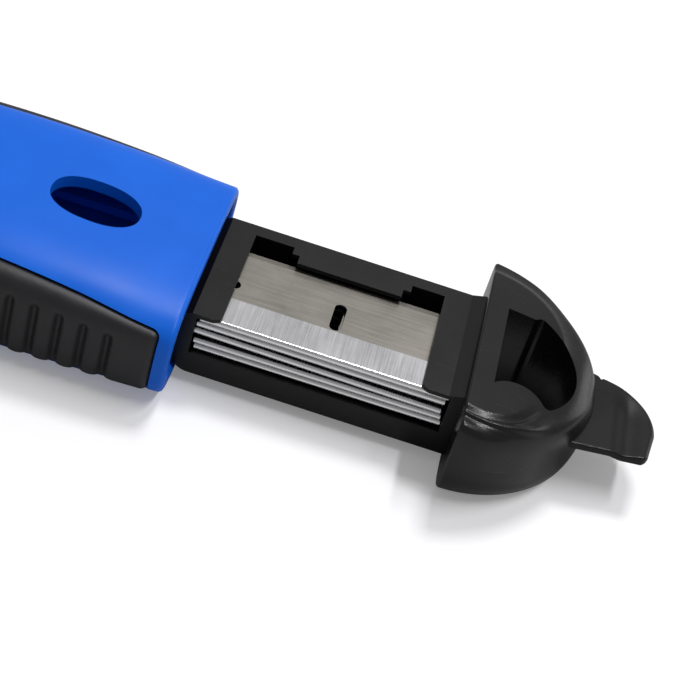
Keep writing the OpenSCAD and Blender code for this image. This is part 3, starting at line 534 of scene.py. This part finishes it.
def bayOutline():
    # a rectangle with a quarter circle at each corner
    (x0, x1), half, r = sliderBay["x"], sliderBay["halfWidth"], sliderBay["corner"]
    centres = [(x1 - r, half - r), (x0 + r, half - r), (x0 + r, r - half), (x1 - r, r - half)]
    return np.concatenate([arc(*centre, r, 90 * k, 90 * (k + 1), sliderBay["cornerCount"])
                           for k, centre in enumerate(centres)])


def trackCutter():
    half = sliderBay["trackHalf"]
    return block("trackCutter", sliderBay["track"], (-half, half), sliderBay["trackHeights"])


upperShell = shellHalf("upperShell", True)
carve(upperShell, prism("windowCutter", windowOutline(), windowCut["heights"]),
      prism("bayCutter", bayOutline(), (sliderBay["deck"], sliderBay["above"])), trackCutter())
softenEdges(upperShell, handle["edgeRound"], handle["edgeAngle"], handle["edgeSteps"])
dress(upperShell, bluePlastic)

# Inside the upper shell: two guide rails and a top rib on each side, each with its reach along y
# and z, and a bulkhead behind them
rails = {"x": (-43.4, -3), "low": ((12.875, 18.4), (6.2, 7.7)),
         "high": ((12.875, 17.9), (10.4, 11.9)), "rib": ((7.7, 9.2), (13.5, 15.4)),
         "bulkhead": ((-45, -43.4), (-18, 18), (4.5, 15.2)), "edgeRound": 0.2, "sharpAngle": 38}
farRails = [(rails["x"], *rails[k]) for k in ("low", "high", "rib")]
nearRails = [(x, (-y[1], -y[0]), z) for x, y, z in farRails]
corners = np.array([blockPoints(*box) for box in farRails + [rails["bulkhead"]] + nearRails])
boxFaces = [[i + 8 * k for i in face] for k in range(len(corners))  # eight corners to a box
            for face in gridFaces(2, 4) + discEnds(2, 4)]
upperRails = newPiece("upperRails", corners, boxFaces, bluePlastic, rails["sharpAngle"])
softenEdges(upperRails, rails["edgeRound"])

# The deck under the thumb slider, with a slot for its post
plateHeights = (sliderBay["under"], sliderBay["deck"] - sliderBay["plateDrop"])
deckPlate = block("deckPlate", sliderBay["plate"],
                  (-sliderBay["plateHalf"], sliderBay["plateHalf"]), plateHeights)
carve(deckPlate, trackCutter())
dress(deckPlate, bluePlastic)

screwHoles = {"places": [(-47.6, 12.6), (-47.6, -12.6), (-86.0, 9.6), (-86.0, -9.6)],
              "circle": (2.2, 0, 351, 40), "heights": (-1, 1.4)}  # circle: radius, angles, count
lowerShell = shellHalf("lowerShell", False)
carve(lowerShell, *[prism("screwCutter", arc(*place, *screwHoles["circle"]), screwHoles["heights"])
                    for place in screwHoles["places"]])
dress(lowerShell, bluePlastic, handle["sharpAngle"])
adopt(upperShell, "handle", "blue_shell", "upper_shell")
adopt(upperRails, "handle", "blue_shell")
adopt(deckPlate, "handle", "blue_shell")
adopt(lowerShell, "handle", "blue_shell", "lower_shell")
print("stage 3: shells made")


def gripPiece(name, side):
    # the handle's oval between two angles, raised to a pillow within its edges and lowered by a row
    # of grooves, each (1 + cos) / 2 across, with a low swell between them
    g = grips
    x = np.linspace(g["end"], g["start"], g["counts"]["along"])[:, None]
    v = np.linspace(0, 1, g["counts"]["up"])[None, :]
    low = turnOfShare(g["lowAngle"])
    turn = low + (gripTopTurn(x) - low) * v
    height = bodyTop(x) * g["heightShare"]
    edge = np.minimum(np.minimum(v, 1 - v) * height, np.minimum(x - g["end"], g["start"] - x))
    pillow = 1 - (1 - np.clip(edge / g["pillowReach"], 0, 1)) ** 2
    u = (g["start"] - g["margin"] - x) / g["pitch"]
    count = math.floor((g["start"] - g["end"] - 2 * g["margin"]) / g["pitch"])
    grooved = (u > 0) & (u < count)
    fromBand = (1 - v) * height - g["plainBand"]
    swell = g["swell"] * (1 - np.cos(2 * np.pi * u)) / 2 * smooth(fromBand, *g["swellFade"])
    # a groove ends in a half circle under the plain band and fades out at its low end
    past = np.maximum(0, 1 - fromBand / (g["grooveWidth"] / 2))
    off = (u - np.floor(u) - 0.5) * g["pitch"] / (g["grooveWidth"] / 2)
    groove = (1 + np.cos(np.pi * np.clip(np.hypot(off, past), 0, 1))) / 2 * grooved
    lift = -g["edgeDrop"] + (g["edgeDrop"] + g["proud"]) * pillow - swell * grooved
    lift = lift - groove * g["grooveDepth"] * smooth(v * height, *g["lowFade"])
    rings = stripRings(x, sectionPoint(x, turn, -lift), sectionPoint(x, turn, g["thick"]))
    return ringPiece(name, rings * [1, side, 1], stripEnds, rubber, g["sharpAngle"])


adopt(gripPiece("gripNear", -1), "handle", "grip_rubber", "grip_near")
adopt(gripPiece("gripFar", 1), "handle", "grip_rubber", "grip_far")
print("stage 4: grips made")

# The nose: the handle's end section eased into a wide flat tip, with grip lines across its top
nose = {"length": 30.0, "halfWidth": 23.0, "height": 8.2, "tipRound": 0.6, "flareShare": 0.305,
        "squarer": 3.0, "lines": [0.3, 0.42, 0.54, 0.66], "lineDepth": 0.65, "lineSpread": 0.5,
        "lineHalf": 13.8, "lineFade": 1.5, "lineFrom": 0.3, "sharpAngle": 40,
        "counts": {"tip": 6, "rings": 110, "around": 200}}
# what is hollow in it: reach along x, y and z; faces differ by a hair so that none coincide
noseHollows = {"chamber": ((-120.4, -101.15), (-19.4, 19.4), (2.775, 5.965)),
               "back": ((-101.6, -97.95), (-17.85, 17.85), (2.776, 5.966)),
               "slot": ((-123, -120), (-19.401, 19.401), (3.0, 4.2)),
               "notch": ((-123.1, -119.8), (-5.2, 5.2), (3.6, 5.967)),
               "stem": ((-98.35, -90), (-6.2, 6.2), (2.777, 5.968))}


def noseSkin():
    # an oval whose width, height and power go from the handle's to the tip's as u goes from 0 to 1,
    # less a bell curve along x at each line
    root = np.array([-handle["length"]])
    rootWidth, rootTop, rootLow = bodyWidth(root)[0], bodyTop(root)[0], bodyBottom(root)[0]
    r, counts = nose["tipRound"], nose["counts"]
    tip = r * (1 - np.sin(np.radians(np.linspace(90, 0, counts["tip"])))) / nose["length"]
    u = np.concatenate([1 - tip, np.linspace(1 - tip[-1], 0, counts["rings"])[1:]])[:, None]
    ease, flare = smooth(u, 0, 1), smooth(u, 0, nose["flareShare"])
    inset = quarterFall((u - 1) * nose["length"] + r, r)
    halfWidth = rootWidth + (nose["halfWidth"] - rootWidth) * flare - inset
    low = rootLow + handle["bellyCut"] * u + inset
    high = rootTop + (nose["height"] - rootTop) * ease - inset
    turn = np.linspace(0, 2 * np.pi, counts["around"], endpoint=False)[None, :]
    y, z = ovalPoint(halfWidth, (high - low) / 2, turn, handle["power"] + nose["squarer"] * u)
    z = (low + high) / 2 + z
    x = -handle["length"] - nose["length"] * u + 0 * y
    fade = 1 - smooth(np.abs(y), nose["lineHalf"] - nose["lineFade"], nose["lineHalf"])
    for line in nose["lines"]:
        along = (x + handle["length"] + nose["length"] * line) / nose["lineSpread"]
        z = z - nose["lineDepth"] * np.exp(-along ** 2) * fade * (np.sin(turn) > nose["lineFrom"])
    return np.stack([x, y, z], -1)


noseShell = ringPiece("noseShell", noseSkin(), discEnds, blackPlastic, nose["sharpAngle"])
carve(noseShell, *[block(part + "Cutter", *reach) for part, reach in noseHollows.items()])
dress(noseShell, blackPlastic, nose["sharpAngle"])
adopt(noseShell, "handle", "black_plastic", "nose_housing")
print("stage 5: nose made")

# The end cap: a dome with a flat top, a D-shaped hole and three crescent ridges for the thumb.
# The facet ends at the far side on an arc, given from the flange as x, y and radius
cap = {"x": 42.2, "length": 20.2, "height": 16.0, "fall": 2.2, "crown": 1.2, "middle": 7.6,
       "power": 4, "widthPower": 0.6, "topPower": 5, "lowPower": 9, "closePower": 0.4,
       "farPower": 4.0, "nearPower": 2.5, "nearFade": (0.35, 0.75), "shoulder": (0, 0.6),
       "shoulderUp": (0, 0.35), "rimRound": 0.5, "facetRound": 0.3, "endRound": 1.1,
       "endFrom": (7, 14), "facetArc": (1.0, 4.3, 12.4), "dropDepth": 1.3, "dropSlope": 0.3,
       "dropBend": 0.1, "dropTurns": (-0.7, 0.5), "nearTurns": (92, 168), "pole": 0.9995,
       "rings": 165, "around": 400, "rimShares": [0.003, 0.006, 0.01, 0.015, 0.02],
       "edgeRound": 0.3, "edgeAngle": 50, "edgeSteps": 3, "sharpAngle": 45}
dee = {"centre": (3.5, -1.2), "radius": 12.6, "straight": 3.5, "far": 9.2, "stepX": 8.25,
       "step": 0.7, "stepLead": 0.4, "stepLength": 1.1, "bite": (7.35, -12.25, 4.85),
       "tipRound": 0.9, "heights": (-2, 30),
       "counts": {"step": 7, "round": 48, "tip": 10, "bow": 30}}
# each ridge: its arc's centre from the flange, radius, angles where it fades in and out, height,
# and how far from the arc it rises and falls
ridges = [{"centre": (1.9, -8.2), "radius": 8.85, "angles": (232, 256, 318, 348), "high": -0.5,
           "rise": (-1.0, 0.55), "fall": (0.5, 1.4)},
          {"centre": (2.9, -6.0), "radius": 12.3, "angles": (238, 256, 300, 328), "high": 0.5,
           "rise": (-0.8, 0), "fall": (0.05, 0.8)},
          {"centre": (3.4, -5.3), "radius": 15.3, "angles": (236, 254, 290, 324), "high": 0.55,
           "rise": (-1.2, 0.1), "fall": (0.2, 1.5)}]


def capTurns():
    # angles round the cap, close together on the near shoulder, where the ridges are
    t0, t1 = np.radians(cap["nearTurns"])
    half = cap["around"] // 2
    return np.concatenate([np.linspace(t0, t1, half, endpoint=False),
                           np.linspace(t1, t0 + 2 * np.pi, half, endpoint=False)])[None, :]


def facetHeight(past, y, inset):
    # a sloping flat, which falls off outside its arc by
    # depth - depth / (1 + slope * out + bend * out^2)
    cx, cy, r = cap["facetArc"]
    out = np.maximum(np.hypot(past - cx, y - cy) - r, 0)
    deep = cap["dropDepth"]
    drop = (deep - deep / (1 + cap["dropSlope"] * out + cap["dropBend"] * out ** 2)) \
        * smooth(np.arctan2(y - cy, past - cx), *cap["dropTurns"])
    return cap["height"] - past * cap["fall"] / cap["length"] - inset - drop


def ridgeLift(past, y):
    # the ridges together: each rises and falls across its arc and fades in and out along it
    lift = 0 * y
    for ridge in ridges:
        dx, dy = past - ridge["centre"][0], y - ridge["centre"][1]
        around = np.degrees(np.arctan2(dy, dx)) % 360
        a0, a1, a2, a3 = ridge["angles"]
        fade = smooth(around, a0, a1) * (1 - smooth(around, a2, a3)) * (y < 0)
        off = np.hypot(dx, dy) - ridge["radius"]
        across = smooth(off, *ridge["rise"]) * (1 - smooth(off, *ridge["fall"]))
        lift = lift + ridge["high"] * fade * across
    return lift


def capSkin():
    # an oval of half width (1 - u^2)^0.6, its top and bottom drawn in by high powers of u, cut by
    # the facet with a rounded edge, and raised by the ridges square to the dome
    u = np.sin(np.radians(90 * np.linspace(0, 1, cap["rings"])))[:, None] * cap["pole"]
    u = np.sort(np.concatenate([u, np.array(cap["rimShares"])[:, None]]), 0)
    x = cap["x"] + cap["length"] * u
    past = x - cap["x"]
    inset = quarterFall(cap["rimRound"] - past, cap["rimRound"])
    w = handle["halfWidth"] * (1 - u * u) ** cap["widthPower"] - inset
    high, low = ((1 - u ** cap[k]) ** cap["closePower"] for k in ("topPower", "lowPower"))
    z0 = cap["middle"] * (1 - low) - handle["bellyCut"] + inset
    rise = cap["height"] + cap["crown"] - cap["middle"] - cap["fall"] * u
    z1 = cap["middle"] + rise * high - inset
    turn = capTurns()
    c, s = np.cos(turn), np.sin(turn)
    # the two shoulders are squarer, the near one only by the flange
    far = cap["farPower"] * smooth(c, *cap["shoulder"])
    near = cap["nearPower"] * smooth(-c, *cap["shoulder"]) * (1 - smooth(u, *cap["nearFade"]))
    power = cap["power"] + (far + near) * smooth(s, *cap["shoulderUp"])
    y, z = ovalPoint(w, (z1 - z0) / 2, turn, power)
    z = (z0 + z1) / 2 + z
    facet = facetHeight(past, y, inset)
    k = cap["facetRound"] + cap["endRound"] * smooth(past, *cap["endFrom"])
    z = np.where(s > 0, facet + (z - facet - np.sqrt((z - facet) ** 2 + k * k)) / 2, z)
    z = np.maximum(z, 0.0)
    # the dome's own direction is the slope of its oval's formula
    up, less = z1 - cap["middle"], cap["power"] - 1
    ny, nz = (y / w) ** less / w, (np.maximum(z - cap["middle"], 0) / up) ** less / up
    size = np.hypot(ny, nz) + 1e-9  # never quite 0
    lift = ridgeLift(past, y) * (s > 0)
    return np.stack([x + 0 * y, y + lift * ny / size, z + lift * nz / size], -1)


def roundTip(c0, r0, c1, r1, r):
    # a circle of radius r inside the first circle and outside the second, touching both; its centre
    d0, d1 = r0 - r, r1 + r
    gap = math.dist(c0, c1)
    along = (gap * gap + d0 * d0 - d1 * d1) / (2 * gap)
    side = math.sqrt(d0 * d0 - along * along)
    ux, uy = (c1[0] - c0[0]) / gap, (c1[1] - c0[1]) / gap
    return c0[0] + along * ux - side * uy, c0[1] + along * uy + side * ux


def angleTo(a, b): return math.degrees(math.atan2(b[1] - a[1], b[0] - a[0]))


def deeOutline():
    # straight side, far side with a small step, round side, rounded tip, bowed near side
    centre, r = (cap["x"] + dee["centre"][0], dee["centre"][1]), dee["radius"]
    bite, biteRadius = (cap["x"] + dee["bite"][0], dee["bite"][1]), dee["bite"][2]
    left, stepX = cap["x"] + dee["straight"], cap["x"] + dee["stepX"]
    tip = roundTip(centre, r, bite, biteRadius, dee["tipRound"])
    start = math.degrees(math.asin((dee["far"] + dee["step"] - centre[1]) / r))
    tipTurn, biteTurn = angleTo(centre, tip), angleTo(bite, tip)
    leftTurn = math.degrees(math.acos((left - bite[0]) / biteRadius))
    counts = dee["counts"]
    steps = np.linspace(0, 1, counts["step"])
    rise = np.column_stack([stepX - dee["stepLead"] + dee["stepLength"] * steps,
                            dee["far"] + dee["step"] * smooth(steps, 0, 1)])
    tipArc = arc(*tip, dee["tipRound"], tipTurn, biteTurn - 180, counts["tip"])
    return np.concatenate([[[left, dee["far"]]], rise,
                           arc(*centre, r, start, tipTurn, counts["round"]), tipArc[1:-1],
                           arc(*bite, biteRadius, biteTurn, leftTurn, counts["bow"])])


capDome = ringPiece("capDome", capSkin(), discEnds, blackPlastic, cap["sharpAngle"])
carve(capDome, prism("deeCutter", deeOutline(), dee["heights"]))
softenEdges(capDome, cap["edgeRound"], cap["edgeAngle"], cap["edgeSteps"])
dress(capDome, blackPlastic)
adopt(capDome, "drawer", "black_plastic", "end_cap")

# The pull tab: a thin tongue with a valley before its rounded lip. Root and tip are x, the other
# far and near values draw its two edges, and valley and lip lie that far before the tip
tab = {"root": 59.0, "tip": 72.4, "rootHalf": 9.35, "farRadius": 9.4, "farY": -1.4,
       "farTurn": 75.0, "nearY": -7.6, "corner": 1.4, "cornerSet": 0.6, "cornerY": -6.2,
       "top": 9.2, "thick": 1.2, "dip": 0.5, "valley": 4.4, "valleyEase": 0.2, "slope": 2.6,
       "lip": 1.1, "rise": 0.42, "bow": 0.012, "calm": (1.0, 8.0), "nib": 0.8, "nibLeast": 0.0025,
       "edge": 0.28, "halfLeast": 0.03, "sharpAngle": 60,
       "counts": {"rings": 130, "flat": 40, "bend": 8}}


def tabEdges(x):
    # the far edge is a line that runs into one great arc; the near edge a line, a small corner
    # and a line
    r, cx = tab["farRadius"], tab["tip"] - tab["farRadius"]
    turn = math.radians(tab["farTurn"])
    joinX, joinY = cx + r * math.cos(turn), tab["farY"] + r * math.sin(turn)
    line = tab["rootHalf"] + (joinY - tab["rootHalf"]) * (x - tab["root"]) / (joinX - tab["root"])
    far = np.where(x < joinX, line, tab["farY"] + np.sqrt(np.maximum(r * r - (x - cx) ** 2, 0)))
    q, endX = tab["corner"], tab["tip"] - tab["cornerSet"]
    slope = (tab["nearY"] + tab["rootHalf"]) * (x - tab["root"]) / (endX - q - tab["root"])
    bend = tab["cornerY"] - np.sqrt(np.maximum(q * q - (x - endX + q) ** 2, 0))
    share = np.clip((x - endX) / tab["cornerSet"], 0, 1)
    last = tab["cornerY"] + (tab["farY"] - tab["cornerY"]) * share
    return np.where(x < endX - q, slope - tab["rootHalf"], np.where(x < endX, bend, last)), far


def tabTip(y):
    # where the tab's outline ends, by y: the great arc, then the slanting line
    arcX = np.sqrt(np.maximum(tab["farRadius"] ** 2 - (y - tab["farY"]) ** 2, 0))
    slant = tab["cornerSet"] * (tab["farY"] - y) / (tab["farY"] - tab["cornerY"])
    return np.where(y > tab["farY"], tab["tip"] - tab["farRadius"] + arcX, tab["tip"] - slant)


def tabSkin():
    # each section is a rounded oblong: side * (half - r) + r cos a, and the same upwards
    counts = tab["counts"]
    x = tab["root"] + (tab["tip"] - tab["root"]) \
        * np.sin(np.radians(np.linspace(0, 90, counts["rings"])))
    near, far = tabEdges(x)
    x = x[:, None]
    one, across = np.ones(counts["bend"]), np.linspace(1, -1, counts["flat"] + 2)[1:-1]
    side = np.concatenate([one, across, -one, -one, -across, one])[None, :]
    up = np.repeat([1.0, -1.0], side.size // 2)[None, :]
    bends = [np.linspace(q, q + 90, counts["bend"]) for q in (0, 90, 180, 270)]
    flats = [np.full(counts["flat"], q) for q in (90, 270)]
    a = np.radians(np.concatenate([bends[0], flats[0], bends[1], bends[2], flats[1], bends[3]]))
    c, s = np.cos(a)[None, :], np.sin(a)[None, :]
    half = np.maximum((far - near) / 2, tab["halfLeast"])[:, None]
    r = np.minimum(tab["edge"], half)
    y = ((far + near) / 2)[:, None] + (half - r) * side + r * c
    # valley and lip bend with the far side, and calm down towards it
    valleyX, lipX = tab["tip"] - tab["valley"], tab["tip"] - tab["lip"]
    along = x + tab["bow"] * np.maximum(y - tab["farY"], 0) ** 2
    calm = 1 - smooth(y, *tab["calm"])
    drop = tab["dip"] * calm * smooth(along, valleyX - tab["slope"], valleyX + tab["valleyEase"])
    top = tab["top"] - drop + tab["rise"] * calm * smooth(along, valleyX, lipX)
    low = tab["top"] - tab["thick"] - tab["dip"] * smooth(x, valleyX - tab["slope"], valleyX)
    # the tip thins to a rounded rim along its outline
    nib = np.clip((x - tabTip(y)) / tab["nib"] + 1, 0, 1)
    thick = (top - low) / 2 * np.sqrt(np.maximum(1 - nib ** 2, tab["nibLeast"]))
    q = np.minimum(tab["edge"], thick)
    z = (top + low) / 2 + (thick - q) * up + q * s
    return np.stack([x + 0 * y, y, z], -1)


pullTongue = ringPiece("pullTongue", tabSkin(), discEnds, tabPlastic, tab["sharpAngle"])
adopt(pullTongue, "drawer", "black_plastic", "pull_tab")
print("stage 6: cap and tab made")

# Square-cut pieces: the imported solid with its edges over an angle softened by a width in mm
squareCut = {"magazine_tray": {"name": "magazineTray", "width": 0.14, "angle": 38,
                               "material": trayPlastic, "body": "drawer",
                               "slotName": "black_plastic"},
             "blade_carrier": {"name": "bladeCarrier", "width": 0.15, "angle": 38,
                               "material": blackPlastic, "body": "carriage",
                               "slotName": "black_plastic"},
             "thumb_slider": {"name": "thumbSlider", "width": 0.3, "angle": 25,
                              "material": bluePlastic, "body": "carriage",
                              "slotName": "blue_shell"}}
solidFaces = {"merge": 1e-6, "joinAngle": 0.5, "flatAngle": 12}


def softCopy(node, name, width, angle, material, body, slotName):
    # the solid's triangles are merged, and those in one plane joined, before its edges are rounded
    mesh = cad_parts[node].data.copy()
    piece = addObject(name, mesh)
    work = bmesh.new()
    work.from_mesh(mesh)
    bmesh.ops.remove_doubles(work, verts=work.verts, dist=solidFaces["merge"])
    bmesh.ops.dissolve_limit(work, angle_limit=math.radians(solidFaces["joinAngle"]),
                             verts=work.verts, edges=work.edges)
    work.to_mesh(mesh)
    work.free()
    softenEdges(piece, width, angle, flatAngle=solidFaces["flatAngle"])
    dress(piece, material)
    adopt(piece, body, slotName, node)


for node, cutLook in squareCut.items():
    softCopy(node, **cutLook)

nodeFinish = {"shell_screws": plated, "slider_screw": plated, "detent_spring": plated,
              "working_blade": bladeSteelTurned, "working_spine": spineSteelTurned}
spareBlades = 5
for k in range(1, spareBlades + 1):
    nodeFinish[f"spare_blade_{k}"] = bladeSteel
    nodeFinish[f"spare_spine_{k}"] = spineSteel
for node, material in nodeFinish.items():
    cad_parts[node].material_slots[0].material = material
print("stage 7: drawer, carrier and blades dressed")

# Floor and light: the camera sees white paper, which glows more the farther out it is; the object
# gets only the light of the darker bounce colour from it
floorLook = {"size": 3.0, "colour": (0.86, 0.86, 0.88, 1), "bounce": (0.55, 0.55, 0.56, 1),
             "rough": 0.9, "lift": 0.19, "fade": (0.25, 0.8)}
worldLook = {"strength": 0.3, "background": 1.0}
lamps = {"keyUpper": {"place": (0.12, 0.42, 0.92), "size": 0.26, "energy": 4.4},
         "backPanel": {"place": (0.0, 1.17, 0.98), "size": 1.3, "energy": 0.62},
         "rimPanel": {"place": (1.25, 1.2, 0.45), "size": 0.9, "energy": 2.2},
         "glint": {"place": (0.42, 0.02, 0.93), "size": 0.6, "depth": 0.045, "energy": 3.6}}
lampAim = (0.04, 0, 0)


def makeFloor(look):
    half = look["size"] / 2
    mesh = bpy.data.meshes.new("floor")
    mesh.from_pydata([(-half, -half, 0), (half, -half, 0), (half, half, 0), (-half, half, 0)], [],
                     [(0, 1, 2, 3)])
    floor = addObject("floor", mesh)
    f = Finish("floorPaper", Roughness=look["rough"], Emission_Strength=1.0)
    seen = f.node("ShaderNodeLightPath", output="Is Camera Ray")
    away = f.node("ShaderNodeVectorMath", {"operation": "LENGTH"}, output=1, s0=f.place)
    glow = look["lift"] + f.band(away, *look["fade"]) * (1 - look["lift"])
    f.paint(Base_Color=f.mix(seen, look["bounce"], look["colour"]),
            Emission_Color=f.mix(seen * glow, (0, 0, 0, 1), (1, 1, 1, 1)))
    mesh.materials.append(f.material)


def areaLight(name, place, size, energy, depth=None):
    data = bpy.data.lights.new(name, "AREA")
    data.shape, data.size, data.energy = "RECTANGLE" if depth else "DISK", size, energy
    data.size_y = depth or size
    lamp = addObject(name, data)
    lamp.location = place
    lamp.visible_camera = False
    lamp.rotation_mode = "QUATERNION"
    lamp.rotation_quaternion = (Vector(lampAim) - Vector(place)).to_track_quat("-Z", "Y")


def makeWorld(look):
    # a pale sky lights the object, and the camera sees white
    world = bpy.data.worlds.new("studio")
    bpy.context.scene.world = world
    world.use_nodes = True
    tree = world.node_tree
    tree.nodes.clear()
    out = tree.nodes.new("ShaderNodeOutputWorld")
    sky = tree.nodes.new("ShaderNodeBackground")
    white = tree.nodes.new("ShaderNodeBackground")
    sky.inputs["Color"].default_value = (1, 1, 1, 1)
    sky.inputs["Strength"].default_value = look["strength"]
    white.inputs["Strength"].default_value = look["background"]
    pick = tree.nodes.new("ShaderNodeMixShader")
    path = tree.nodes.new("ShaderNodeLightPath")
    tree.links.new(path.outputs["Is Camera Ray"], pick.inputs[0])
    tree.links.new(sky.outputs[0], pick.inputs[1])
    tree.links.new(white.outputs[0], pick.inputs[2])
    tree.links.new(pick.outputs[0], out.inputs[0])


makeFloor(floorLook)
makeWorld(worldLook)
for lampName, lamp in lamps.items():
    areaLight(lampName, **lamp)
bpy.context.scene.view_settings.view_transform = "Standard"
print("stage 8: floor and light set")
